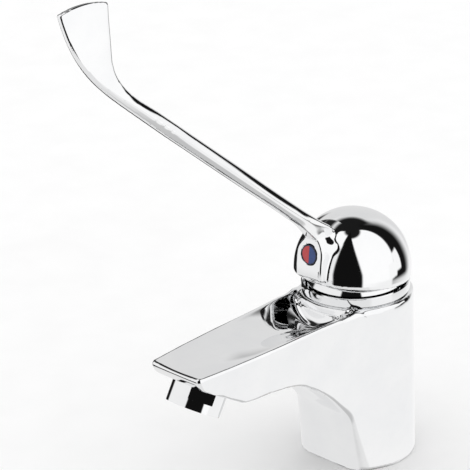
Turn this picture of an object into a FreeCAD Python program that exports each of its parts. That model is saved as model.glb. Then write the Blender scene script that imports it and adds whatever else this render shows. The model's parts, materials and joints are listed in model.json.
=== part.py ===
import FreeCAD, Part
import math
import os

from FreeCAD import Vector as V

os.makedirs("parts", exist_ok=True)

# ---------------------------------------------------------------------------
# Single-lever basin tap with a long lever. Millimetres, +Z up. The origin is
# the centre of the column's foot, on the basin's deck. The spout and the
# lever point along -Y; +X is the tap's left-hand side seen from the user.
# ---------------------------------------------------------------------------

# column and spout
R_COL = 25.0            # column radius
Z_RIM = 76.7            # body rim, under the collar ring
R_NECK = 24.8           # round neck that stands in the spout's dished top
Y_TIP = -107.6          # spout nose
Z_TIP = 75.7            # top edge at the nose
Y_FOOT = -20.6          # flattened front of the column at the foot
Z_ARCH = 24.0           # where the slanted front turns into the spout's arch
Y_ARCH = -24.0
ARCH = [(-82.4, 56.85), (-55.2, 54.5), (-41.8, 47.2), (Y_ARCH, Z_ARCH)]
R_CORNER = [0.5, 0.8, 5.0, 14.0, 12.0]   # corner rounding along the arch and down to the foot
PAD_A = (-105.0, 69.6)  # aerator pad, front end (y, z)
PAD_B = (-84.0, 57.0)   # aerator pad, rear end

# cartridge seat
Z_SEAT = 47.0
R_SEAT = 18.4
R_THREAD = 19.0
Z_THREAD = 69.5
Z_ROOF = 40.0           # roof of the pocket under the column
INLET_X, INLET_Y = 7.2, -3.0
R_INLET = 4.5           # M10x1 female
Z_BOSS = 11.0           # lower faces of the inlet and stud bosses
STUD_Y = 10.8
R_STUD = 4.0            # M8

# handle: it tips about the pivot pin and turns with the rotor
Z_PIV = 72.0
TILT = 7.0              # lean of the stem as modelled, lever a little below its top stop
R_DOME = 25.4
DOME_Y = -3.6           # dome axis, in the handle's own axes
DOME_Z = 15.5           # centre of the dome's round top, above the pivot
RIM_Y, RIM_Z = -1.5, 84.35  # dome rim beside the pivot
WALL = 2.2
STRAP_Y = -31.5         # front face of the strap, in the handle's own axes
STRAP_W = 7.6           # half width of the strap
STRAP_UP = 2.2           # foot of the strap above the dome's rim curve
Y_ROOT = -16.7          # end of the tongue in which the lever runs out on the dome

# under the basin
DECK = 30.0             # thickness of the basin's deck in the clamp as modelled


def cyl(r, z0, z1, x=0.0, y=0.0):
    return Part.makeCylinder(r, z1 - z0, V(x, y, z0))


def box(x0, x1, y0, y1, z0, z1):
    return Part.makeBox(x1 - x0, y1 - y0, z1 - z0, V(x0, y0, z0))


def ring(ro, ri, z0, z1, x=0.0, y=0.0):
    return cyl(ro, z0, z1, x, y).cut(cyl(ri, z0 - 1, z1 + 1, x, y))


def lathe(pts):
    """Solid of revolution about Z of a closed (r, z) outline."""
    w = Part.makePolygon([V(r, 0, z) for r, z in pts] + [V(pts[0][0], 0, pts[0][1])])
    return Part.Face(w).revolve(V(0, 0, 0), V(0, 0, 1), 360)


def prism_x(edges_or_pts, x0, x1):
    """Side outline, in (y, z), extruded along X."""
    if isinstance(edges_or_pts[0], tuple):
        pts = [V(x0, y, z) for y, z in edges_or_pts]
        wire = Part.makePolygon(pts + [pts[0]])
    else:
        wire = Part.Wire(edges_or_pts)
    return Part.Face(wire).extrude(V(x1 - x0, 0, 0))


def spline(pts, t0=None, t1=None):
    c = Part.BSplineCurve()
    if t0 is None:
        c.interpolate(pts)
    else:
        c.interpolate(Points=pts, InitialTangent=t0, FinalTangent=t1)
    return c.toShape()


def hexagon(af, z0, z1, x=0.0, y=0.0, turn=0.0):
    rr = af / 2.0 / math.cos(math.radians(30))
    pts = [V(x + rr * math.cos(math.radians(60 * i + turn)),
             y + rr * math.sin(math.radians(60 * i + turn)), z0) for i in range(6)]
    return Part.Face(Part.makePolygon(pts + [pts[0]])).extrude(V(0, 0, z1 - z0))


def solid(shape):
    """The one solid of a shape, cleaned of leftover seams."""
    s = shape.removeSplitter()
    sol = s.Solids
    sol.sort(key=lambda q: -q.Volume)
    return sol[0]


NODES = {}


def put(name, shape):
    NODES[name] = shape


# ---------------------------------------------------------------------------
# tap body
# ---------------------------------------------------------------------------

SIDE = [(14.3, Y_TIP), (15.2, -98.0), (15.9, -90.0), (16.5, -80.0), (17.0, -70.0),
        (17.4, -60.0), (17.7, -50.0), (18.1, -40.0), (18.8, -30.0), (19.9, -20.0), (22.2, -11.5)]


def plan_outline(z):
    """Spout and column seen from above."""
    e = []
    right = [V(x, y, z) for x, y in SIDE]
    e.append(spline(right, V(0.12, 1, 0), V(0.52, 1, 0)))
    a0 = V(22.2, -11.5, z)
    a2 = V(-22.2, -11.5, z)
    e.append(Part.Arc(a0, V(0, math.hypot(22.2, 11.5), z), a2).toShape())
    left = [V(-x, y, z) for x, y in reversed(SIDE)]
    e.append(spline(left, V(0.52, -1, 0), V(0.12, -1, 0)))
    e.append(Part.makeLine(V(-14.3, Y_TIP, z), V(14.3, Y_TIP, z)))
    return Part.Wire(e)


def side_outline(x):
    """Column and spout seen from the side, in (y, z)."""
    p = lambda y, z: V(x, y, z)
    e = []
    e.append(Part.makeLine(p(26, 0), p(26, Z_RIM)))
    e.append(Part.makeLine(p(26, Z_RIM), p(-10, Z_RIM)))
    e.append(spline([p(-10, Z_RIM), p(-40, 76.45), p(Y_TIP - 2, Z_TIP - 0.02)], V(0, -1, 0), V(0, -1, -0.011)))
    e.append(Part.makeLine(p(Y_TIP - 2, Z_TIP - 0.02), p(Y_TIP - 2, 73.4)))
    # the face under the nose leans back to the pad
    e.append(Part.makeLine(p(Y_TIP - 2, 73.4), p(Y_TIP, 73.4)))
    e.append(Part.makeLine(p(Y_TIP, 73.4), p(*PAD_A)))
    e.append(Part.makeLine(p(*PAD_A), p(-85.2, 57.72)))
    e.append(Part.Arc(p(-85.2, 57.72), p(-83.9, 57.08), p(-82.4, 56.85)).toShape())
    # the arch in three stretches that meet without a corner, the last one
    # running into the slanted front
    dy, dz = Y_FOOT - Y_ARCH, -Z_ARCH
    n = math.hypot(dy, dz)
    a0, a1, a2, a3 = ARCH
    e.append(spline([p(*a0), p(-74.0, 56.4), p(-64.0, 56.0), p(*a1)], V(0, 1, -0.05), V(0, 1, -0.27)))
    e.append(spline([p(*a1), p(-48.5, 51.6), p(*a2)], V(0, 1, -0.27), V(0, 1, -0.8)))
    e.append(spline([p(*a2), p(-35.0, 41.0), p(-28.5, 33.2), p(*a3)], V(0, 1, -0.8), V(0, dy / n, dz / n)))
    e.append(Part.makeLine(p(Y_ARCH, Z_ARCH), p(Y_FOOT, 0)))
    e.append(Part.makeLine(p(Y_FOOT, 0), p(26, 0)))
    return Part.Wire(e)


def round_corners(shape):
    """Rounds the two corners between the side walls and the underside: sharp at
    the spout, growing down the arch, wide at the foot; and the top edge."""
    stops = ARCH + [(Y_FOOT, 0.0)]
    picked = []
    for i, e in enumerate(shape.Edges, 1):
        vs = [v.Point for v in e.Vertexes]
        if len(vs) < 2 or min(abs(v.x) for v in vs) < 5:
            continue
        lo, hi = (vs[0], vs[1]) if vs[0].y < vs[1].y else (vs[1], vs[0])
        for k in range(4):
            (y0, z0), (y1, z1) = stops[k], stops[k + 1]
            if max(abs(lo.y - y0), abs(lo.z - z0), abs(hi.y - y1), abs(hi.z - z1)) < 0.02:
                r = (R_CORNER[k], R_CORNER[k + 1])
                picked.append((i,) + (r if vs[0].y < vs[1].y else (r[1], r[0])))
    doc = FreeCAD.newDocument()
    src = doc.addObject("Part::Feature", "src")
    src.Shape = shape
    f = doc.addObject("Part::Fillet", "f")
    f.Base = src
    f.Edges = picked
    doc.recompute()
    return f.Shape.copy()


def dish_depth(y):
    """How far the spout's top dips below its edges, on the centre line."""
    tab = [(-112, 0.45), (-104, 0.5), (-95, 0.7), (-85, 1.1), (-75, 1.7), (-65, 2.6),
           (-55, 3.9), (-45, 5.6), (-35, 7.3), (-28, 8.0), (-20, 6.2), (-15, 3.0), (-11, 0.6), (-6, -0.7)]
    for (y0, s0), (y1, s1) in zip(tab, tab[1:]):
        if y <= y1:
            f = max(0.0, (y - y0) / (y1 - y0))
            return s0 + (s1 - s0) * f
    return tab[-1][1]


def side_w(y):
    """Half width of the spout's top edge."""
    tab = [(y_, x_) for x_, y_ in SIDE]
    tab = [(-112.0, 13.8)] + tab + [(-4.0, 25.5)]
    for (y0, s0), (y1, s1) in zip(tab, tab[1:]):
        if y <= y1:
            return s0 + (s1 - s0) * (y - y0) / (y1 - y0)
    return tab[-1][1]


def top_z(y):
    return Z_TIP + (Z_RIM - Z_TIP) * min(1.0, max(0.0, (y + 106.2) / 92.2))


def dish_tool():
    """Everything above the spout's dished top, in front of the neck."""
    ys = [-114, -108, -102, -96, -90, -84, -78, -72, -66, -60, -54, -48, -42, -36, -30, -24, -19, -14, -9]
    us = [-1.45, -1.2, -1.0, -0.85, -0.7, -0.55, -0.4, -0.25, -0.12, 0.0,
          0.12, 0.25, 0.4, 0.55, 0.7, 0.85, 1.0, 1.2, 1.45]
    grid = []
    for y in ys:
        row = []
        w = side_w(y) - 1.3
        for u in us:
            s = dish_depth(y)
            z = top_z(y) - s * (1.1667 - (u * u + 0.03) ** 0.85 * 1.1378)
            row.append(V(u * w, y, z))
        grid.append(row)
    surf = Part.BSplineSurface()
    surf.interpolate(grid)
    return surf.toShape().extrude(V(0, 0, 40))


def mid(e):
    return e.valueAt((e.FirstParameter + e.LastParameter) / 2)


plan = Part.Face(plan_outline(0)).extrude(V(0, 0, 90))
plan = plan.makeFillet(1.8, [e for e in plan.Edges if abs(mid(e).y - Y_TIP) < 0.1 and abs(mid(e).x) > 5 and mid(e).z > 40])
side = Part.Face(side_outline(-40)).extrude(V(80, 0, 0))
body = plan.common(side).removeSplitter()
# the whole top edge, then the corners of the underside
top_edges = [e for e in body.Edges if mid(e).z > 75.4 and e.Length > 0.3 and not (abs(mid(e).x) < 14 and mid(e).y > Y_TIP + 2 and mid(e).y < 20)]
body = body.makeFillet(1.1, top_edges)
body = round_corners(body)
foot = [f for f in body.Faces if f.BoundBox.ZMax < 0.01][0]
foot_wire = foot.OuterWire
body = body.makeFillet(0.5, foot_wire.Edges)

# neck: a plain cylinder that stays standing in the dish, with a foot that
# flares into the dish floor
FL = 5.5
Z_FLOOR = 67.6
neck_pts = [V(0, 0, 60), V(R_NECK + FL + 3, 0, 60), V(R_NECK + FL + 3, 0, Z_FLOOR - 0.6),
            V(R_NECK + FL, 0, Z_FLOOR)]
arc_mid = V(R_NECK + FL - FL * math.sin(math.radians(45)), 0, Z_FLOOR + FL - FL * math.cos(math.radians(45)))
neck_edges = [Part.makeLine(neck_pts[0], neck_pts[1]), Part.makeLine(neck_pts[1], neck_pts[2]),
              Part.makeLine(neck_pts[2], neck_pts[3]),
              Part.Arc(neck_pts[3], arc_mid, V(R_NECK, 0, Z_FLOOR + FL)).toShape(),
              Part.makeLine(V(R_NECK, 0, Z_FLOOR + FL), V(R_NECK, 0, 130)),
              Part.makeLine(V(R_NECK, 0, 130), V(0, 0, 130)),
              Part.makeLine(V(0, 0, 130), V(0, 0, 60))]
neck_keep = Part.Face(Part.Wire(neck_edges)).revolve(V(0, 0, 0), V(0, 0, 1), 360)
full = body.Volume
body = body.cut(dish_tool().cut(neck_keep))
if full - body.Volume < 3000:
    raise ValueError("the dish in the spout's top has not been cut")

# neck ring: a fine groove round the neck below its rim
groove = lathe([(R_NECK + 0.6, 74.0), (R_NECK - 0.55, 73.5), (R_NECK + 0.6, 73.0)])
body = body.cut(groove.common(box(-18.0, 18.0, -40, -10, 70, 80)))

# cartridge seat, nut thread, pocket under the column with three bosses
body = body.cut(cyl(R_SEAT, Z_SEAT, 90)).cut(cyl(R_THREAD, Z_THREAD, 90))
def inset(d):
    """The foot's outline, d further in: round, with a flat front and wide corners."""
    rho = 14.0
    cy = Y_FOOT + rho
    cx = math.sqrt((R_COL - rho) ** 2 - cy ** 2)
    r, ro = rho - d, R_COL - d
    k = ro / (R_COL - rho)
    tr, tl = V(cx * k, cy * k, 0), V(-cx * k, cy * k, 0)
    fr, fl = V(cx, Y_FOOT + d, 0), V(-cx, Y_FOOT + d, 0)
    u = V(tr.x - cx + 0.0, tr.y - cy - r, 0)
    u.normalize()
    mr = V(cx + u.x * r, cy + u.y * r, 0)
    return Part.Face(Part.Wire([Part.makeLine(fl, fr), Part.Arc(fr, mr, tr).toShape(),
                                Part.Arc(tr, V(0, ro, 0), tl).toShape(),
                                Part.Arc(tl, V(-mr.x, mr.y, 0), fl).toShape()]))


pocket = inset(3.9).extrude(V(0, 0, Z_ROOF))
for bx, by, br in ((INLET_X, INLET_Y, 6.6), (-INLET_X, INLET_Y, 6.6), (0, STUD_Y, 6.6)):
    pocket = pocket.cut(cyl(br, Z_BOSS, Z_ROOF + 1, bx, by))
body = body.cut(pocket)
body = body.cut(inset(1.45).extrude(V(0, 0, 1.22)).cut(inset(3.05).extrude(V(0, 0, 1.22))))
for sx in (INLET_X, -INLET_X):
    body = body.cut(cyl(R_INLET, Z_BOSS - 1, Z_BOSS + 16, sx, INLET_Y))
    body = body.cut(cyl(3.0, Z_BOSS + 14, Z_SEAT + 1, sx, INLET_Y))
body = body.cut(cyl(R_STUD + 0.05, Z_BOSS - 1, Z_BOSS + 18, 0, STUD_Y))

# aerator chamber and the waterway to it
pd = V(0, PAD_B[0] - PAD_A[0], PAD_B[1] - PAD_A[1])
pd.normalize()
PN = V(0, pd.z, -pd.y)            # out of the pad: forward and down
PC = V(0, (PAD_A[0] + PAD_B[0]) / 2, (PAD_A[1] + PAD_B[1]) / 2) + pd * 0.9
AER_T = 6.0                       # depth of the aerator's thread
body = body.cut(Part.makeCylinder(11.0, AER_T + 2, PC - PN * AER_T, PN))
w0, w1 = V(0, -15, 57.0), PC - PN * (AER_T - 3.9) + pd * 3.0
body = body.cut(Part.makeCylinder(4.0, (w1 - w0).Length, w0, w1 - w0))
body = solid(body)
put("tap_body", body)

# ---------------------------------------------------------------------------
# collar ring and cartridge cover
# ---------------------------------------------------------------------------

put("collar_ring", solid(lathe([(19.6, Z_RIM), (22.7, Z_RIM), (22.7, Z_RIM + 0.3), (23.2, Z_RIM + 0.3),
                                (23.6, Z_RIM + 0.7), (23.6, 80.9), (23.2, 81.3), (19.6, 81.3)])))

P = V(0, 0, Z_PIV)
R_BELL = 23.1
bell = Part.makeSphere(R_BELL, P).cut(Part.makeSphere(R_BELL - 1.4, P))
bell = bell.common(box(-40, 40, -40, 40, 81.32, 86.4))
bell = bell.fuse(ring(19.55, 18.2, 77.0, 82.2)).cut(cyl(18.2, 70, 82.2))
bell = bell.cut(Part.makeSphere(R_BELL - 1.4, P).common(box(-40, 40, -40, 40, 82.2, 100)))
put("cartridge_cover", solid(bell))

# ---------------------------------------------------------------------------
# cartridge
# ---------------------------------------------------------------------------

nut = cyl(R_THREAD - 0.05, 69.9, Z_RIM).fuse(cyl(17.9, Z_RIM, 81.2))
nut = nut.cut(cyl(15.0, 60, 90)).cut(ring(19, 16.68, 77.7, 79.3))
for i in range(6):
    slot = box(10, 20, -2.1, 2.1, 79.9, 90)
    slot.rotate(V(0, 0, 0), V(0, 0, 1), 60 * i)
    nut = nut.cut(slot)
put("retaining_nut", solid(nut))
put("cover_o_ring", Part.makeTorus(17.44, 0.74, V(0, 0, 78.5), V(0, 0, 1)))

housing = cyl(17.4, 50.0, 69.88).fuse(cyl(14.85, 69.88, 79.4))
housing = housing.cut(cyl(14.65, 49, 64.7)).cut(cyl(12.58, 60, 78.4)).cut(cyl(11.6, 70, 85))
for i in range(3):
    ang = -90 + 120 * i
    win = box(12, 20, -4.5, 4.5, 50.6, 52.9)
    win.rotate(V(0, 0, 0), V(0, 0, 1), ang)
    housing = housing.cut(win)
put("cartridge_housing", solid(housing))

base = cyl(17.2, 47.5, 50.0).fuse(cyl(14.6, 50.0, 53.4))
OUT_Y = 5.0
for sx in (INLET_X, -INLET_X):
    base = base.cut(cyl(2.7, 40, 60, sx, INLET_Y)).cut(cyl(5.0, 40, 48.2, sx, INLET_Y))
base = base.cut(cyl(3.2, 50.6, 60, 0, OUT_Y))
base = base.cut(box(-2.2, 2.2, -20, OUT_Y, 50.6, 52.9))
base = base.cut(ring(20, 14.2, 50.7, 52.8))
put("cartridge_base", solid(base))

seals = [ring(4.95, 3.05, Z_SEAT, 48.2, sx, INLET_Y) for sx in (INLET_X, -INLET_X)]
put("inlet_seals", Part.makeCompound(seals))

disc = cyl(14.2, 53.4, 56.6)
for sx in (INLET_X, -INLET_X):
    disc = disc.cut(cyl(2.7, 50, 60, sx, INLET_Y))
disc = disc.cut(cyl(3.2, 50, 60, 0, OUT_Y))
put("fixed_disc", solid(disc))

# the stem's lower ball pushes the carrier and the moving disc along the
# rotor's guides; as modelled they stand BALL_Y forward of the middle
ARM = 8.5
BALL_Y = -ARM * math.sin(math.radians(TILT))
R_BALL = 3.2
mdisc = cyl(10.8, 56.62, 59.8, 0, BALL_Y)
chamber = cyl(3.0, 56, 58.2, 0, OUT_Y).fuse(box(-9.0, 9.0, -3.4, -0.2, 56, 58.2)).fuse(box(-2.4, 2.4, -2, OUT_Y, 56, 58.2))
chamber.translate(V(0, BALL_Y, 0))
put("moving_disc", solid(mdisc.cut(chamber)))

carrier = cyl(10.9, 59.8, 65.8, 0, BALL_Y)
carrier = carrier.cut(cyl(R_BALL + 0.06, 60.2, 70, 0, BALL_Y))
# side steps that the rotor's guides run along
carrier = carrier.cut(box(7.15, 20, -20, 20, 62.3, 70)).cut(box(-20, -7.15, -20, 20, 62.3, 70))
carrier = carrier.cut(Part.makeCone(R_BALL + 0.06, 5.0, 2.0, V(0, BALL_Y, 64.0)))
put("disc_carrier", solid(carrier))

rotor = cyl(12.5, 64.75, 78.3).fuse(cyl(14.3, 62.6, 64.55))
rotor = rotor.cut(box(-7.2, 7.2, -20, 20, 60, 66.1))
rotor = rotor.cut(box(-3.7, 3.7, -7.2, 7.2, 60, 80))
rotor = rotor.cut(Part.makeCylinder(1.52, 40, V(-20, 0, Z_PIV), V(1, 0, 0)))
rotor = solid(rotor.fuse(cyl(12.5, 64.5, 64.8).cut(box(-7.2, 7.2, -20, 20, 60, 66.1))))
put("rotor", rotor)
put("pivot_pin", Part.makeCylinder(1.5, 24.0, V(-12.0, 0, Z_PIV), V(1, 0, 0)))

# stem, drawn upright about the pivot and then leaned by TILT
stem = box(-3.5, 3.5, -3.5, 3.5, 4.0, 31.5)
stem = stem.fuse(Part.makeCylinder(4.6, 7.0, V(-3.5, 0, 0), V(1, 0, 0)))
stem = stem.fuse(Part.makeCylinder(2.2, ARM, V(0, 0, -ARM)))
stem = stem.fuse(Part.makeSphere(R_BALL, V(0, 0, -ARM)))
stem = stem.cut(Part.makeCylinder(1.55, 20, V(-10, 0, 0), V(1, 0, 0)))
stem = stem.cut(Part.makeCone(0.0, 2.2, 1.6, V(0, -5.1, 25.3), V(0, 1, 0)).cut(box(-9, 9, -9, -3.6, 0, 50)))


def lean(shape):
    """From the handle's own axes to the model's: onto the pivot, tipped by TILT."""
    s = shape.copy()
    s.rotate(V(0, 0, 0), V(1, 0, 0), -TILT)
    s.translate(P)
    return s


put("stem", solid(lean(stem)))

# ---------------------------------------------------------------------------
# handle: hollow dome, front strap and lever, in one casting
# ---------------------------------------------------------------------------


def lev_section(f, b, wr, hr, wf, wb):
    """Lever section from the front/lower point f to the back/upper point b,
    both (y, z): half widths wf at f, wr at the ridge hr beyond f, wb at b, where
    both corners are bevelled."""
    f, b = V(0, f[0], f[1]), V(0, b[0], b[1])
    d = b - f
    n = V(d.x, d.y, d.z)
    n.normalize()
    r = f + n * hr
    c = b - n * min(1.0, wb * 0.38)
    bev = wb - min(0.5, wb * 0.2)
    pts = [f + V(wf, 0, 0), r + V(wr, 0, 0), c + V(wb, 0, 0), b + V(bev, 0, 0),
           b - V(bev, 0, 0), c - V(wb, 0, 0), r - V(wr, 0, 0), f - V(wf, 0, 0)]
    return Part.makePolygon(pts + [pts[0]])


LD = V(0, -0.764, 0.645)
LD.normalize()
LN = V(0, LD.z, -LD.y)
L0 = V(0, -50.1, 129.6)


def on_bar(s, off):
    q = L0 + LD * s + LN * off
    return (q.y, q.z)


bar = [(-46, -3.6, 8.6, 3.2, 5.2, 5.0, 4.8), (-37, -2.2, 7.4, 3.4, 4.8, 4.4, 4.4),
       (-28, -0.9, 6.6, 3.7, 4.0, 3.2, 3.7), (-20, -0.1, 6.45, 3.8, 3.1, 1.9, 3.15),
       (-12, 0.0, 6.4, 3.6, 2.8, 1.6, 2.9), (-2, 0.0, 6.4, 3.6, 2.8, 1.6, 2.9),
       (14, 0.0, 6.4, 3.6, 2.8, 1.6, 2.9), (32, 0.0, 6.4, 3.6, 2.8, 1.6, 2.9),
       (50, 0.0, 6.35, 3.6, 2.8, 1.6, 2.9), (64, 0.0, 6.3, 3.6, 2.8, 1.6, 2.9),
       (76, 0.0, 6.25, 3.55, 2.8, 1.6, 2.9)]
fan = [((-117.4, 186.6), (-113.3, 191.0), 3.5, 2.8, 1.6, 2.85),
       ((-127.0, 194.9), (-122.4, 198.4), 3.2, 2.7, 1.55, 2.6),
       ((-135.9, 203.0), (-127.9, 204.8), 2.7, 2.4, 1.4, 2.1),
       ((-143.2, 211.0), (-131.0, 211.0), 2.2, 2.0, 1.25, 1.65),
       ((-148.8, 219.4), (-131.8, 218.4), 1.8, 1.65, 1.15, 1.3),
       ((-153.0, 228.4), (-131.9, 227.6), 1.5, 1.4, 1.05, 1.1),
       ((-155.8, 237.0), (-131.9, 236.6), 1.4, 1.25, 1.0, 1.0),
       ((-157.6, 245.0), (-131.9, 245.0), 1.35, 1.2, 1.0, 0.95)]
secs = [lev_section(on_bar(s, o0), on_bar(s, o1), wr, hr, wf, wb) for s, o0, o1, wr, hr, wf, wb in bar]
secs += [lev_section(*q) for q in fan]
end = [V(-10, -170, 238.2), V(-10, -157.0, 238.7), V(-10, -145.0, 240.45), V(-10, -131.6, 238.3), V(-10, -120, 236.0)]
end_face = Part.Face(Part.Wire([Part.Arc(end[1], end[2], end[3]).toShape(),
                                Part.makeLine(end[3], V(-10, -120, 238.3)),
                                Part.makeLine(V(-10, -120, 238.3), V(-10, -120, 180)),
                                Part.makeLine(V(-10, -120, 180), V(-10, -170, 180)),
                                Part.makeLine(V(-10, -170, 180), V(-10, -170, 238.7)),
                                Part.makeLine(V(-10, -170, 238.7), end[1])])).extrude(V(20, 0, 0))
lever = Part.makeLoft(secs, True, False)
lever = lever.common(end_face.fuse(box(-10, 10, -121, Y_ROOT, 60, 238.3)))
# the lever's root ends in a blunt, round-cornered tongue on the dome
root_edges = [e for e in lever.Edges if e.BoundBox.YMin > Y_ROOT - 0.05 and mid(e).z > 104]
lever = lever.makeFillet(2.2, [e for e in root_edges if e.BoundBox.ZLength > 3])

dome = cyl(R_DOME, 0, DOME_Z, 0, DOME_Y).fuse(Part.makeSphere(R_DOME, V(0, DOME_Y, DOME_Z)))
# the strap's front is slightly bowed from foot to head
q = lambda y, z: V(-STRAP_W, y, z)
strap_side = Part.Wire([Part.makeLine(q(-16, 10.6), q(STRAP_Y + 0.9, 10.6)),
                        Part.Arc(q(STRAP_Y + 0.9, 10.6), q(STRAP_Y - 0.25, 22.5), q(STRAP_Y + 1.3, 34.5)).toShape(),
                        Part.makeLine(q(STRAP_Y + 1.3, 34.5), q(-16, 34.5)),
                        Part.makeLine(q(-16, 34.5), q(-16, 10.6))])
strap = Part.Face(strap_side).extrude(V(2 * STRAP_W, 0, 0))
strap_front = [V(-STRAP_W, -60, 5), V(STRAP_W, -60, 5), V(STRAP_W, -60, 27.0), V(6.8, -60, 29.0),
               V(4.9, -60, 31.0), V(4.5, -60, 33.0), V(-4.5, -60, 33.0), V(-4.9, -60, 31.0),
               V(-6.8, -60, 29.0), V(-STRAP_W, -60, 27.0)]
strap = strap.common(Part.Face(Part.makePolygon(strap_front + [strap_front[0]])).extrude(V(0, 60, 0)))
# rim of the dome and foot of the strap, a shallow curve seen from the side
c = lambda y, z: V(-40, y, z)
below = Part.Face(Part.Wire([Part.Arc(c(40, 80.4), c(RIM_Y, RIM_Z), c(-40, 89.6)).toShape(),
                             Part.makeLine(c(-40, 89.6), c(-40, 50)), Part.makeLine(c(-40, 50), c(40, 50)),
                             Part.makeLine(c(40, 50), c(40, 80.4))])).extrude(V(80, 0, 0))
dome = lean(dome).removeSplitter().cut(below).removeSplitter()
rim = [e for e in dome.Edges if e.Length > 60 and mid(e).z < 90 and e.BoundBox.ZMin < 84]
dome = dome.makeFillet(0.6, rim)
foot_cut = below.copy()
foot_cut.translate(V(0, 0, STRAP_UP))
strap = lean(strap).cut(foot_cut).removeSplitter()
soft = [e for e in strap.Edges if mid(e).y < -24 and (abs(mid(e).x) > 4 or mid(e).z < 92)]
strap = strap.makeFillet(0.7, soft)
outer = dome.fuse(strap)
outer = outer.fuse(lever)
cavity = Part.makeSphere(R_DOME - WALL, V(0, DOME_Y, DOME_Z)).fuse(cyl(R_DOME - WALL, 0, DOME_Z, 0, DOME_Y))
cavity = cavity.cut(box(-40, 40, -50, 40, -40, 0)).cut(cyl(7.4, 14.2, 60))
cavity = cavity.cut(box(-4.4, 4.4, -30, 0, 20.5, 60))
handle = outer.cut(lean(cavity))
handle = handle.cut(lean(box(-3.55, 3.55, -3.55, 3.55, 0, 31.8)))
# screw hole from the strap's face to the stem, wide at the front for the plug
handle = handle.cut(lean(Part.makeCylinder(2.55, 40, V(0, STRAP_Y - 1, 25.3), V(0, 1, 0)).cut(box(-9, 9, 0, 60, 0, 60))))
handle = handle.cut(lean(Part.makeCylinder(4.3, 4.2, V(0, STRAP_Y - 1, 25.3), V(0, 1, 0))))
handle = solid(handle)
put("handle", handle)

grub = Part.makeCylinder(2.5, 9.0, V(0, -13.6, 25.3), V(0, 1, 0))
grub = grub.fuse(Part.makeCone(2.2, 0.4, 1.05, V(0, -4.6, 25.3), V(0, 1, 0)))
hexk = hexagon(2.5, -1, 4)
hexk.rotate(V(0, 0, 0), V(1, 0, 0), -90)
hexk.translate(V(0, -13.7, 25.3))
put("grub_screw", solid(lean(grub.cut(hexk))))

# index plug: a dark cup with a hot and a cold half let into its face
IX = V(0, STRAP_Y, 25.3)
plug = Part.makeCylinder(4.25, 3.2, IX, V(0, 1, 0)).cut(Part.makeCylinder(3.85, 0.9, IX - V(0, 0.1, 0), V(0, 1, 0)))
plug = plug.fuse(Part.makeCylinder(2.4, 4.0, IX + V(0, 3.0, 0), V(0, 1, 0)))
put("index_plug", solid(lean(plug)))
face = Part.makeCylinder(3.8, 0.85, IX + V(0, -0.05, 0), V(0, 1, 0))
hot = face.common(box(-10, -0.02, -60, 0, 0, 60))
cold = face.common(box(0.02, 10, -60, 0, 0, 60))
put("index_hot", solid(lean(hot)))
put("index_cold", solid(lean(cold)))

# ---------------------------------------------------------------------------
# aerator
# ---------------------------------------------------------------------------

AER_H = 9.0
aer = Part.makeCylinder(10.95, AER_T - 0.6, PC - PN * (AER_T - 0.6), PN)
aer = aer.fuse(Part.makeCylinder(11.8, AER_H, PC + PN * 0.02, PN))
# two spanner flats above a full round lower rim
for sgn in (1, -1):
    cut = Part.makeBox(6, 40, AER_H - 4.0, V(10.5 if sgn > 0 else -16.5, -20, 0.02))
    cut.rotate(V(0, 0, 0), V(0, 0, 1), 38)
    m = FreeCAD.Placement(PC, FreeCAD.Rotation(V(0, 0, 1), PN))
    cut.Placement = m.multiply(cut.Placement)
    aer = aer.cut(cut)
aer = aer.cut(Part.makeCylinder(9.5, 40, PC - PN * 20, PN))
aer = aer.fuse(Part.makeCylinder(9.8, 0.9, PC + PN * (AER_H - 1.6), PN).cut(
    Part.makeCylinder(8.9, 3, PC + PN * (AER_H - 2.5), PN)))
put("aerator_housing", solid(aer))

ins = Part.makeCylinder(9.4, 9.0, PC + PN * (AER_H - 1.65 - 9.0), PN)
ins = ins.cut(Part.makeCylinder(8.2, 6.5, PC + PN * (AER_H - 1.65 - 9.1), PN))
put("jet_former", solid(ins))
gz = Part.makeCylinder(8.8, 0.8, PC + PN * (AER_H - 1.6), PN)
holes = []
for i in range(-4, 5):
    for j in range(-4, 5):
        if math.hypot(i, j) * 1.75 < 7.2:
            holes.append((i * 1.75, j * 1.75))
m = FreeCAD.Placement(PC, FreeCAD.Rotation(V(0, 0, 1), PN))
cells = []
for hx, hy in holes:
    c = box(hx - 0.62, hx + 0.62, hy - 0.62, hy + 0.62, AER_H - 3, AER_H + 1)
    c.Placement = m.multiply(c.Placement)
    cells.append(c)
put("aerator_gauze", solid(gz.cut(Part.makeCompound(cells))))
gsk = Part.makeCylinder(10.6, 0.58, PC - PN * (AER_T - 0.01), PN).cut(
    Part.makeCylinder(8.4, 3, PC - PN * (AER_T + 1), PN))
put("aerator_gasket", solid(gsk))

# ---------------------------------------------------------------------------
# base seal and under-basin fixing
# ---------------------------------------------------------------------------

seal = inset(1.5).extrude(V(0, 0, 1.2)).cut(inset(3.0).extrude(V(0, 0, 1.2)))
put("base_seal", solid(seal))

Z_CL = -DECK


def shoe(z0, z1, ro, notch):
    """Crescent clamp: round outside, open at the front so that it passes the hoses."""
    s = cyl(ro, z0, z1)
    s = s.cut(box(-notch, notch, -40, 3.0, z0 - 1, z1 + 1)).cut(cyl(notch, z0 - 1, z1 + 1, 0, 3.0 - notch + notch * 0.0))
    return s.cut(cyl(R_STUD + 0.35, z0 - 1, z1 + 1, 0, STUD_Y))


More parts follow.
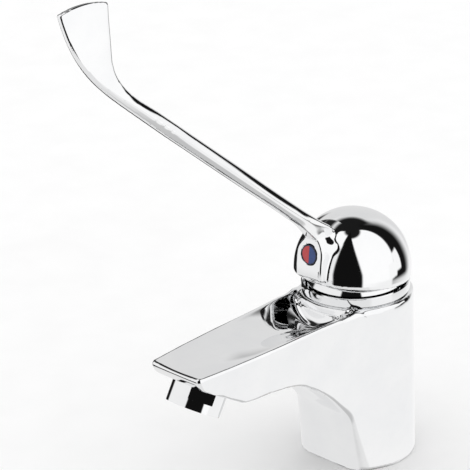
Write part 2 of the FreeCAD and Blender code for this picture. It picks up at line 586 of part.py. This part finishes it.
put("clamp_gasket", solid(shoe(Z_CL - 2.5, Z_CL, 23.0, 12.4)))
put("clamp_plate", solid(shoe(Z_CL - 5.0, Z_CL - 2.5, 22.5, 12.9)))
put("fixing_stud", cyl(R_STUD, Z_CL - 25, Z_BOSS + 17, 0, STUD_Y))
nut8 = hexagon(13.0, Z_CL - 11.5, Z_CL - 5.0, 0, STUD_Y).cut(cyl(R_STUD + 0.02, -90, 0, 0, STUD_Y))
put("clamp_nut", solid(nut8))

for name, shp in NODES.items():
    shp.exportStep("parts/%s.step" % name)
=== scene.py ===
import math

import bmesh
import bpy
import numpy as np
from mathutils import Matrix, Vector
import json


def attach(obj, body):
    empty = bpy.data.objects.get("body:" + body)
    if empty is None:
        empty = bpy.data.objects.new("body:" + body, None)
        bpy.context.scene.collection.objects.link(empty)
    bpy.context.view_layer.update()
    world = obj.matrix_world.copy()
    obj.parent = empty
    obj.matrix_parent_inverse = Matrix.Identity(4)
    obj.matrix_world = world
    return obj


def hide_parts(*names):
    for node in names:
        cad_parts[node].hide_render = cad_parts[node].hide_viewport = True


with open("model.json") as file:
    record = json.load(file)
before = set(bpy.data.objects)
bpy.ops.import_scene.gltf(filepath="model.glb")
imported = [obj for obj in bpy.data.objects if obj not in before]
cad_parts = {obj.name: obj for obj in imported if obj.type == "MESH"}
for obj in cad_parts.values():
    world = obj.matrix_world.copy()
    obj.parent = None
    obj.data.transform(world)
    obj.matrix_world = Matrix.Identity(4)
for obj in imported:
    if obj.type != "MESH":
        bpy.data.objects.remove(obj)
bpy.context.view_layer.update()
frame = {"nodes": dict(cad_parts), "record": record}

scene = bpy.context.scene
NODES = frame["nodes"]


# ---------------------------------------------------------------- materials

def new_material(name):
    m = bpy.data.materials.new(name)
    m.use_nodes = True
    nt = m.node_tree
    nt.nodes.clear()
    out = nt.nodes.new("ShaderNodeOutputMaterial")
    b = nt.nodes.new("ShaderNodeBsdfPrincipled")
    nt.links.new(b.outputs["BSDF"], out.inputs["Surface"])
    return m, nt, b


def object_noise(nt, scale, detail=3.0, rough=0.5, stretch=None):
    """Noise in the object's own coordinates, one per metre times scale."""
    tc = nt.nodes.new("ShaderNodeTexCoord")
    mp = nt.nodes.new("ShaderNodeMapping")
    nt.links.new(tc.outputs["Object"], mp.inputs["Vector"])
    if stretch:
        mp.inputs["Scale"].default_value = stretch
    n = nt.nodes.new("ShaderNodeTexNoise")
    n.inputs["Scale"].default_value = scale
    n.inputs["Detail"].default_value = detail
    n.inputs["Roughness"].default_value = rough
    nt.links.new(mp.outputs["Vector"], n.inputs["Vector"])
    return n


def ramp(nt, src, stops):
    r = nt.nodes.new("ShaderNodeValToRGB")
    el = r.color_ramp.elements
    while len(el) < len(stops):
        el.new(0.5)
    for e, (p, c) in zip(el, stops):
        e.position = p
        e.color = c if len(c) == 4 else (*c, 1.0)
    nt.links.new(src, r.inputs["Fac"])
    return r


def map_range(nt, src, a, b, c, d):
    m = nt.nodes.new("ShaderNodeMapRange")
    for k, v in zip(("From Min", "From Max", "To Min", "To Max"), (a, b, c, d)):
        m.inputs[k].default_value = v
    nt.links.new(src, m.inputs["Value"])
    return m


def bump(nt, bsdf, src, dist, strength):
    b = nt.nodes.new("ShaderNodeBump")
    b.inputs["Distance"].default_value = dist
    b.inputs["Strength"].default_value = strength
    nt.links.new(src, b.inputs["Height"])
    nt.links.new(b.outputs["Normal"], bsdf.inputs["Normal"])
    return b


def chrome():
    m, nt, b = new_material("chrome_plate")
    b.inputs["Metallic"].default_value = 1.0
    n = object_noise(nt, 60.0, 4.0, 0.55)
    c = ramp(nt, n.outputs["Fac"], [(0.3, (0.86, 0.865, 0.875)), (0.7, (0.9, 0.902, 0.905))])
    nt.links.new(c.outputs["Color"], b.inputs["Base Color"])
    f = object_noise(nt, 900.0, 2.0, 0.6)
    r = map_range(nt, f.outputs["Fac"], 0.35, 0.75, 0.03, 0.06)
    nt.links.new(r.outputs["Result"], b.inputs["Roughness"])
    return m


def brass():
    m, nt, b = new_material("machined_brass")
    b.inputs["Metallic"].default_value = 1.0
    n = object_noise(nt, 300.0, 3.0, 0.6, (1.0, 1.0, 12.0))
    c = ramp(nt, n.outputs["Fac"], [(0.3, (0.62, 0.44, 0.17)), (0.7, (0.8, 0.61, 0.28))])
    nt.links.new(c.outputs["Color"], b.inputs["Base Color"])
    r = map_range(nt, n.outputs["Fac"], 0.3, 0.7, 0.22, 0.38)
    nt.links.new(r.outputs["Result"], b.inputs["Roughness"])
    bump(nt, b, n.outputs["Fac"], 0.00004, 0.4)
    return m


def steel():
    m, nt, b = new_material("brushed_steel")
    b.inputs["Metallic"].default_value = 1.0
    n = object_noise(nt, 500.0, 3.0, 0.6, (1.0, 12.0, 1.0))
    c = ramp(nt, n.outputs["Fac"], [(0.3, (0.5, 0.51, 0.52)), (0.7, (0.66, 0.67, 0.68))])
    nt.links.new(c.outputs["Color"], b.inputs["Base Color"])
    r = map_range(nt, n.outputs["Fac"], 0.3, 0.7, 0.25, 0.42)
    nt.links.new(r.outputs["Result"], b.inputs["Roughness"])
    bump(nt, b, n.outputs["Fac"], 0.00003, 0.4)
    return m


def dielectric(name, lo, hi, r0, r1, scale=400.0, dist=0.00005):
    m, nt, b = new_material(name)
    n = object_noise(nt, scale, 4.0, 0.6)
    c = ramp(nt, n.outputs["Fac"], [(0.3, lo), (0.7, hi)])
    nt.links.new(c.outputs["Color"], b.inputs["Base Color"])
    r = map_range(nt, n.outputs["Fac"], 0.3, 0.7, r0, r1)
    nt.links.new(r.outputs["Result"], b.inputs["Roughness"])
    bump(nt, b, n.outputs["Fac"], dist, 0.3)
    return m


MATS = {
    "chromed_brass": chrome(),
    "bare_brass": brass(),
    "steel": steel(),
    "ceramic": dielectric("alumina_ceramic", (0.86, 0.85, 0.81), (0.92, 0.91, 0.88), 0.18, 0.3),
    "cartridge_plastic": dielectric("moulded_acetal", (0.76, 0.76, 0.74), (0.84, 0.84, 0.82), 0.35, 0.5),
    "black_rubber": dielectric("nitrile_rubber", (0.02, 0.02, 0.022), (0.045, 0.045, 0.048), 0.6, 0.8, 900.0),
    "dark_plastic": dielectric("dark_index_ring", (0.012, 0.014, 0.03), (0.02, 0.024, 0.05), 0.2, 0.3),
    "red_plastic": dielectric("red_index", (0.42, 0.03, 0.035), (0.5, 0.05, 0.055), 0.18, 0.28),
    "blue_plastic": dielectric("blue_index", (0.012, 0.04, 0.16), (0.02, 0.06, 0.21), 0.18, 0.28),
}

slot_of = {s["node"]: s["material_slot"] for s in frame["record"]["subparts"]}
for name, o in NODES.items():
    o.data.materials.clear()
    o.data.materials.append(MATS[slot_of[name]])
    for p in o.data.polygons:
        p.use_smooth = True
    w = o.modifiers.new("weld", "WELD")
    w.merge_threshold = 0.000002
    e = o.modifiers.new("creases", "EDGE_SPLIT")
    e.split_angle = math.radians(22)
    e.use_edge_sharp = False
    n = o.modifiers.new("normals", "WEIGHTED_NORMAL")
    n.mode = "FACE_AREA_WITH_ANGLE"


# ---------------------------------------------------------------- the cast handle

def smooth_min(a, b, k):
    h = np.maximum(k - np.abs(a - b), 0.0) / k
    return np.minimum(a, b) - h * h * k * 0.25


def smooth_max(a, b, k):
    return -smooth_min(-a, -b, k)


def ease(v, lo, hi):
    t = np.clip((v - lo) / (hi - lo), 0.0, 1.0)
    return t * t * (3.0 - 2.0 * t)


TILT = math.radians(7.0)
PIVOT_Z = 72.0
BAR_O = np.array((-50.1, 129.6))
BAR_D = np.array((-0.764, 0.645)) / math.hypot(0.764, 0.645)
BAR_N = np.array((BAR_D[1], -BAR_D[0]))
# along the bar, then front, back, half width at the ridge, ridge beyond the front, half widths
# at front and back
BAR = np.array([(-46, -3.6, 8.6, 3.2, 5.2, 5.0, 4.8), (-37, -2.2, 7.4, 3.4, 4.8, 4.4, 4.4),
                (-28, -0.9, 6.6, 3.7, 4.0, 3.2, 3.7), (-20, -0.1, 6.45, 3.8, 3.1, 1.9, 3.15),
                (-12, 0.0, 6.4, 3.6, 2.8, 1.6, 2.9), (32, 0.0, 6.4, 3.6, 2.8, 1.6, 2.9),
                (50, 0.0, 6.35, 3.6, 2.8, 1.6, 2.9), (64, 0.0, 6.3, 3.6, 2.8, 1.6, 2.9),
                (76, 0.0, 6.25, 3.55, 2.8, 1.6, 2.9)])
ROOT_Y = -16.7


def curve_table(x, y):
    """Catmull-Rom curve through the points, as a fine table."""
    t = np.linspace(x[0], x[-1], 600)
    m = np.gradient(y, x)
    k = np.clip(np.searchsorted(x, t) - 1, 0, len(x) - 2)
    h = x[k + 1] - x[k]
    u = (t - x[k]) / h
    v = ((2 * u ** 3 - 3 * u ** 2 + 1) * y[k] + (u ** 3 - 2 * u ** 2 + u) * h * m[k]
         + (-2 * u ** 3 + 3 * u ** 2) * y[k + 1] + (u ** 3 - u ** 2) * h * m[k + 1])
    return t, v


BAR_T = [curve_table(BAR[:, 0], BAR[:, i]) for i in range(1, 7)]


def handle_axes(p):
    """Millimetres in the handle's own leaned axes."""
    y, z = p[:, 1], p[:, 2] - PIVOT_Z
    return (p[:, 0], y * math.cos(TILT) - z * math.sin(TILT), y * math.sin(TILT) + z * math.cos(TILT))


def rim_height(y):
    """The dome's rim, seen from the side."""
    return 1068.883 - np.sqrt(991.186 ** 2 - (y - 113.147) ** 2)


def dome_distance(p):
    x, y, z = handle_axes(p)
    return np.sqrt(x * x + (y + 3.6) ** 2 + np.maximum(z - 15.5, 0.0) ** 2) - 25.4


def strap_distance(p):
    x, y, z = handle_axes(p)
    ax = np.abs(x)
    side = smooth_max(ax - 7.6, (2.0 * (ax - 7.6) + 0.8 * (z - 27.0)) / 2.154, 1.0)
    side = smooth_max(side, (2.0 * (ax - 6.8) + 1.9 * (z - 29.0)) / 2.759, 1.0)
    front = np.hypot(y - 21.861, z - 21.675) - 53.617
    foot = rim_height(p[:, 1]) + 2.2 - p[:, 2]
    d = smooth_max(smooth_max(side, front, 1.6), z - 33.0, 1.5)
    return smooth_max(d, foot, 1.2)


def bar_distance(p):
    ax = np.sqrt(p[:, 0] ** 2 + 1e-6)
    q = p[:, 1:] - BAR_O
    s, off = q @ BAR_D, q @ BAR_N
    o0, o1, wr, hr, wf, wb = (np.interp(s, *c) for c in BAR_T)
    u = off - o0
    low = (wr - wf) / hr
    high = (wb - wr) / (o1 - o0 - 1.0 - hr)
    a = (ax - wf - low * u) / np.sqrt(1.0 + low * low)
    b = (ax - wr - high * (u - hr)) / np.sqrt(1.0 + high * high)
    # a ridge on the bar, a flute by the dome
    k = 1e-3 + 1.0 * np.minimum(np.abs(low - high) * 1.5, 1.0)
    d = np.where(low > high, smooth_max(a, b, k), smooth_min(a, b, 2.0 * k))
    # the bevelled back corners
    d = smooth_max(d, (ax - wb + 0.5 * (off - o1 + 1.0)) / 1.118, 0.6)
    d = smooth_max(d, off - o1, 1.0)
    d = smooth_max(d, -u, 0.8)
    return smooth_max(d, p[:, 1] - ROOT_Y, 2.6)


def skin_distance(p):
    """Outer skin of the casting near the dome, with its poured fillets."""
    z = handle_axes(p)[2]
    fd = dome_distance(p)
    fs = smooth_min(strap_distance(p), bar_distance(p), 1.2)
    k = 0.9 + 6.6 * ease(z, 25.0, 31.0) * (1.0 - 0.8 * ease(p[:, 1], -24.0, -17.5))
    return smooth_min(fd, fs, k)


def smoothed(co, edges, rounds, weight):
    n = len(co)
    deg = np.bincount(edges.ravel(), minlength=n).astype(float)[:, None]
    for _ in range(rounds):
        acc = np.zeros_like(co)
        np.add.at(acc, edges[:, 0], co[edges[:, 1]])
        np.add.at(acc, edges[:, 1], co[edges[:, 0]])
        co = co + (acc / deg - co) * weight
    return co


def remeshed(node, voxel, finer=None):
    """An even mesh of one node, finer where asked: the mesh, its points in millimetres and its edges."""
    bm = bmesh.new()
    bm.from_mesh(NODES[node].data)
    bmesh.ops.remove_doubles(bm, verts=bm.verts, dist=2e-6)
    me = bpy.data.meshes.new(node + "_source")
    bm.to_mesh(me)
    bm.free()
    tmp = bpy.data.objects.new(node + "_source", me)
    scene.collection.objects.link(tmp)
    rm = tmp.modifiers.new("remesh", "REMESH")
    rm.mode = "VOXEL"
    rm.voxel_size = voxel
    dg = bpy.context.evaluated_depsgraph_get()
    out = bpy.data.meshes.new_from_object(tmp.evaluated_get(dg))
    bpy.data.objects.remove(tmp)
    bpy.data.meshes.remove(me)
    if finer:
        bm = bmesh.new()
        bm.from_mesh(out)
        near = [e for e in bm.edges if finer(e.verts[0].co) and finer(e.verts[1].co)]
        bmesh.ops.subdivide_edges(bm, edges=near, cuts=2, use_grid_fill=True)
        bm.to_mesh(out)
        bm.free()
    co = np.empty(len(out.vertices) * 3)
    out.vertices.foreach_get("co", co)
    ed = np.empty(len(out.edges) * 2, dtype=np.int64)
    out.edges.foreach_get("vertices", ed)
    return out, co.reshape(-1, 3) * 1000.0, ed.reshape(-1, 2)


def projected(co, w, distance):
    """Points moved onto the surface where the distance is nought, as far as w says."""
    act = w > 0
    p = co[act].copy()
    p0 = p.copy()
    e = 0.02
    for _ in range(8):
        g = distance(p)
        gr = np.stack([(distance(p + d) - distance(p - d)) / (2 * e)
                       for d in (np.array((e, 0, 0)), np.array((0, e, 0)), np.array((0, 0, e)))], 1)
        gg = np.maximum((gr * gr).sum(1), 0.05)
        p = p - np.clip(g / gg, -0.5, 0.5)[:, None] * gr
    co[act] = p0 + (p - p0) * w[act][:, None]
    return co


def casting(name, node, rides, mesh, co):
    mesh.vertices.foreach_set("co", (co / 1000.0).ravel())
    mesh.update()
    for q in mesh.polygons:
        q.use_smooth = True
    ob = bpy.data.objects.new(name, mesh)
    scene.collection.objects.link(ob)
    mesh.materials.clear()
    mesh.materials.append(MATS["chromed_brass"])
    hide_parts(node)
    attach(ob, rides)
    return ob


def handle_skin():
    out, co, ed = remeshed("handle", 0.0005)
    co = smoothed(co, ed, 4, 0.5)
    # pull the outer skin of dome, strap and bar onto the exact surface with its fillets
    x, y, z = handle_axes(co)
    fd = dome_distance(co)
    base = np.minimum(fd, np.minimum(strap_distance(co), bar_distance(co)))
    on = np.abs(base) < 0.7
    w = on * (1.0 - ease((co[:, 1:] - BAR_O) @ BAR_D, 60.0, 74.0))
    plug = np.hypot(x, z - 25.3)
    w = w * np.where(y < -18.0, ease(plug, 4.7, 5.6), 1.0)
    w = w * ease(co[:, 2] - rim_height(co[:, 1]), 1.0, 1.8)
    co = projected(co, w, skin_distance)
    # even out the bend and the fan without thinning them
    q = co
    for _ in range(10):
        q = smoothed(smoothed(q, ed, 1, 0.5), ed, 1, -0.52)
    co = co + (q - co) * ease((co[:, 1:] - BAR_O) @ BAR_D, 52.0, 60.0)[:, None]
    return casting("handle_casting", "handle", "lever", out, co)


# ---------------------------------------------------------------- the cast body

SIDE_Y = np.array((-107.6, -98.0, -90.0, -80.0, -70.0, -60.0, -50.0, -40.0, -30.0, -20.0, -11.5, -6.0))
SIDE_X = np.array((14.3, 15.2, 15.9, 16.5, 17.0, 17.4, 17.7, 18.1, 18.8, 19.9, 22.2, 24.3))
DISH_Y = np.array((-112, -104, -95, -85, -75, -65, -55, -45, -35, -28, -20, -15, -11, -6.0))
DISH_S = np.array((0.45, 0.5, 0.7, 1.1, 1.7, 2.6, 3.9, 5.6, 7.3, 8.0, 6.2, 3.0, 0.6, -0.7))


SIDE_T = curve_table(SIDE_Y, SIDE_X)
DISH_T = curve_table(DISH_Y, DISH_S)


def body_top_distance(p):
    """The spout's rim and dished top with the neck that stands in it."""
    x, y, z = p[:, 0], p[:, 1], p[:, 2]
    ax = np.sqrt(x * x + 1e-4)
    w = np.interp(y, *SIDE_T)
    r = np.hypot(x, y)
    wall = np.minimum(np.where(y < -6.0, ax - w, 99.0), r - 25.0)
    lip = 75.7 + np.clip((y + 106.2) / 92.2, 0.0, 1.0)
    u2 = (x / (w - 1.3)) ** 2
    dish = (z - lip + np.interp(y, *DISH_T) * (1.1667 - (u2 + 0.03) ** 0.85 * 1.1378)) * 0.9
    spout = smooth_max(wall, z - lip - 0.03, 1.5)
    spout = smooth_max(spout, dish, 0.7)
    spout = smooth_max(spout, -107.6 - y, 1.5)
    neck = smooth_max(r - 24.8 + 0.5 * np.maximum(1.0 - np.abs(z - 73.5) / 0.5, 0.0), z - 76.7, 0.8)
    return smooth_min(spout, neck, 5.5)


def body_skin():
    out, co, ed = remeshed("tap_body", 0.00074, lambda v: (
        0.0722 < v.z < 0.0748 and v.y < -0.008 and 0.0235 < math.hypot(v.x, v.y) < 0.0262))
    co = smoothed(co, ed, 3, 0.5)
    x, y, z = co.T
    r = np.hypot(x, y)
    base = body_top_distance(co)
    w = (np.abs(base) < 0.8) * ease(z, 64.0, 66.0) * (r > 21.5) * ease(-y, 9.0, 12.0) * ease(y, -106.0, -104.0)
    side = np.abs(x) - np.interp(y, *SIDE_T)
    w = w * np.where(side > -0.3, ease(z, 73.0, 74.0), 1.0)
    co = projected(co, w, body_top_distance)
    # even out the corners where the neck runs into the rims
    corner = ease(-y, 7.0, 10.0) * ease(y, -30.0, -26.0) * ease(z, 71.0, 73.0) * ease(side, -5.5, -3.5)
    co = co + (smoothed(co, ed, 7, 0.5) - co) * corner[:, None]
    return casting("body_casting", "tap_body", "column", out, co)


body_skin()
handle_skin()

# ---------------------------------------------------------------- stage

def quad(name, centre, u, v, mat, camera=False, shadow=False):
    """A flat card: centre and its two half-edge vectors."""
    c, u, v = Vector(centre), Vector(u), Vector(v)
    me = bpy.data.meshes.new(name)
    me.from_pydata([c - u - v, c + u - v, c + u + v, c - u + v], [], [(0, 1, 2, 3)])
    o = bpy.data.objects.new(name, me)
    scene.collection.objects.link(o)
    me.materials.append(mat)
    o.visible_camera = camera
    o.visible_shadow = shadow
    o.visible_diffuse = camera
    return o


def light_tent(centre, radius, patches, base):
    """A tent round the tap that only its polish sees. Azimuth 0 is the spout's side and
    90 is +X, both from the tent's middle."""
    m = bpy.data.materials.new("light_tent")
    m.use_nodes = True
    nt = m.node_tree
    nt.nodes.clear()

    def math_node(op, *args):
        n = nt.nodes.new("ShaderNodeMath")
        n.operation = op
        for i, v in enumerate(args):
            if isinstance(v, (int, float)):
                n.inputs[i].default_value = v
            else:
                nt.links.new(v, n.inputs[i])
        return n.outputs[0]

    def step(v, edge, soft):
        """0 below the edge, 1 above it, over a soft band."""
        n = nt.nodes.new("ShaderNodeMapRange")
        n.interpolation_type = "SMOOTHSTEP"
        n.inputs["From Min"].default_value = edge - soft
        n.inputs["From Max"].default_value = edge + soft
        nt.links.new(v, n.inputs["Value"])
        return n.outputs["Result"]

    tc = nt.nodes.new("ShaderNodeTexCoord")
    nv = nt.nodes.new("ShaderNodeVectorMath")
    nv.operation = "NORMALIZE"
    nt.links.new(tc.outputs["Object"], nv.inputs[0])
    sep = nt.nodes.new("ShaderNodeSeparateXYZ")
    nt.links.new(nv.outputs["Vector"], sep.inputs[0])
    x, y, z = sep.outputs
    az = math_node("MULTIPLY", math_node("ARCTAN2", x, math_node("MULTIPLY", y, -1.0)), 180 / math.pi)
    # measured from the far left, so that no patch has to cross the seam at 180
    az = math_node("FLOORED_MODULO", math_node("ADD", az, SEAM), 360.0)
    el = math_node("MULTIPLY", math_node("ARCSINE", z), 180 / math.pi)
    v = None
    rise = math_node("MAXIMUM", el, 0.0)
    for a0, a1, k0, k1, e0, e1, sa, sb, se, level in patches:
        p = math_node("SUBTRACT",
                      step(math_node("MULTIPLY_ADD", rise, -k0, az), a0 + SEAM, sa),
                      step(math_node("MULTIPLY_ADD", rise, -k1, az), a1 + SEAM, sb))
        q = math_node("SUBTRACT", step(el, e0, se), step(el, e1, se))
        w = math_node("MULTIPLY", p, q)
        if v is None:
            v = math_node("MULTIPLY_ADD", w, level - base, base)
        else:
            v = math_node("MULTIPLY_ADD", w, math_node("SUBTRACT", level, v), v)
    out = nt.nodes.new("ShaderNodeOutputMaterial")
    e = nt.nodes.new("ShaderNodeEmission")
    nt.links.new(v, e.inputs["Strength"])
    nt.links.new(e.outputs["Emission"], out.inputs["Surface"])

    bm = bmesh.new()
    bmesh.ops.create_icosphere(bm, subdivisions=5, radius=radius)
    me = bpy.data.meshes.new("light_tent")
    bm.to_mesh(me)
    bm.free()
    me.materials.append(m)
    o = bpy.data.objects.new("light_tent", me)
    scene.collection.objects.link(o)
    o.location = centre
    o.visible_camera = False
    o.visible_diffuse = False
    o.visible_shadow = False
    o.visible_transmission = False
    o.visible_volume_scatter = False


SEAM = 110.0
# azimuth from and to, how far each edge leans with height, elevation from and to,
# softness of left, right and level edges, brightness
light_tent((0, -0.02, 0.10), 0.32, [
    (215, 260, 0, 0, 12, 44, 6, 6, 6, 0.78),             # left wall, shaded
    (-200, 400, 0, 0, 60, 120, 3, 3, 5, 0.012),          # open top
    (176, 262, 0, 0, 50, 120, 8, 8, 7, 0.012),           # open top, towards the back
    (-200, 400, 0, 0, -120, -21, 3, 3, 3, 0.86),         # table
    (78, 218, 0, 0, -52, -15, 6, 6, 3, 0.99),            # table's right half
    (40, 150, 0, 0, -120, -56, 10, 10, 6, 0.6),          # its front edge
    (-112, -46, 0, 0, 31, 54, 6, 6, 5, 0.02),            # gap above the left wall
    (-120, -69, 0, 0, -32, 33, 6, 4, 4, 0.012),          # gap in front of the left wall
    (188, 236, 0, 0, -14, 49, 9, 3, 4, 0.79),            # left wall's far part
    (237, 252, 0, 0, -32, 12, 4, 1, 4, 0.012),           # more of the gap in front of it
    (-62, 12, 0, 0, 54, 80, 4, 3, 3, 1.1),               # strip light, front left
    (126, 172, 0.3, 0.2, -23, 70, 3, 12, 4, 0.008),      # gap behind the soft box
    (60, 131, -0.2, 0.3, -19, 74, 3, 2.5, 2.5, 1.1),     # soft box on the right
    (118, 137, 0, 0, -18, 3, 3, 2, 2, 1.05),             # its lower corner
    (132, 149, 0, 0, -12, 14, 2, 1.5, 2, 1.05),          # pale wall behind it, seen in the lever
    (7, 64.5, 0.12, -0.2, -20, 120, 2.5, 2.5, 2, 0.006), # open front, dark room
], 0.95)

world = bpy.data.worlds.new("studio")
scene.world = world
world.use_nodes = True
wb = world.node_tree.nodes["Background"]
wb.inputs["Color"].default_value = (1, 1, 1, 1)
wb.inputs["Strength"].default_value = 1.06
scene.view_settings.view_transform = "Standard"
scene.view_settings.look = "None"

# the ledge that the tap stands on
def ledge():
    m, nt, b = new_material("pale_ledge")
    n = object_noise(nt, 40.0, 2.0, 0.5)
    c = ramp(nt, n.outputs["Fac"], [(0.3, (0.93, 0.93, 0.93)), (0.7, (0.95, 0.95, 0.95))])
    nt.links.new(c.outputs["Color"], b.inputs["Base Color"])
    b.inputs["Roughness"].default_value = 0.8
    b.inputs["Specular IOR Level"].default_value = 0.1
    return m


card_mat, card_nt, card_b = new_material("black_card")
card_b.inputs["Base Color"].default_value = (0.01, 0.01, 0.01, 1)
card_b.inputs["Roughness"].default_value = 1.0
card_b.inputs["Specular IOR Level"].default_value = 0.0
quad("black_card", (-0.037, -0.145, 0.051), (0.024, -0.0225, 0), (0, 0, 0.009), card_mat)

floor = quad("ledge", (0, 0, -0.0002), (3, 0, 0), (0, 3, 0), ledge(), camera=True, shadow=True)
floor.visible_glossy = False

# ---------------------------------------------------------------- camera

A, E, ROLL, F = math.radians(46.6), math.radians(22.9), math.radians(-2.23), 2531.0
ca, sa, ce, se = math.cos(A), math.sin(A), math.cos(E), math.sin(E)
fwd = Vector((-ce * sa, ce * ca, -se))
right = Vector((ca, sa, 0))
up = right.cross(fwd)
cr, sr = math.cos(ROLL), math.sin(ROLL)
rx = cr * right + sr * up
uy = -sr * right + cr * up
cam_data = bpy.data.cameras.new("camera")
cam = bpy.data.objects.new("camera", cam_data)
scene.collection.objects.link(cam)
cam_data.sensor_width = 36.0
cam_data.lens = F / 470.0 * 36.0
cam_data.clip_start, cam_data.clip_end = 0.05, 20.0
cam.matrix_world = Matrix(((rx.x, uy.x, -fwd.x, 0.6913), (rx.y, uy.y, -fwd.y, -0.7244),
                           (rx.z, uy.z, -fwd.z, 0.5256), (0, 0, 0, 1)))
scene.camera = cam
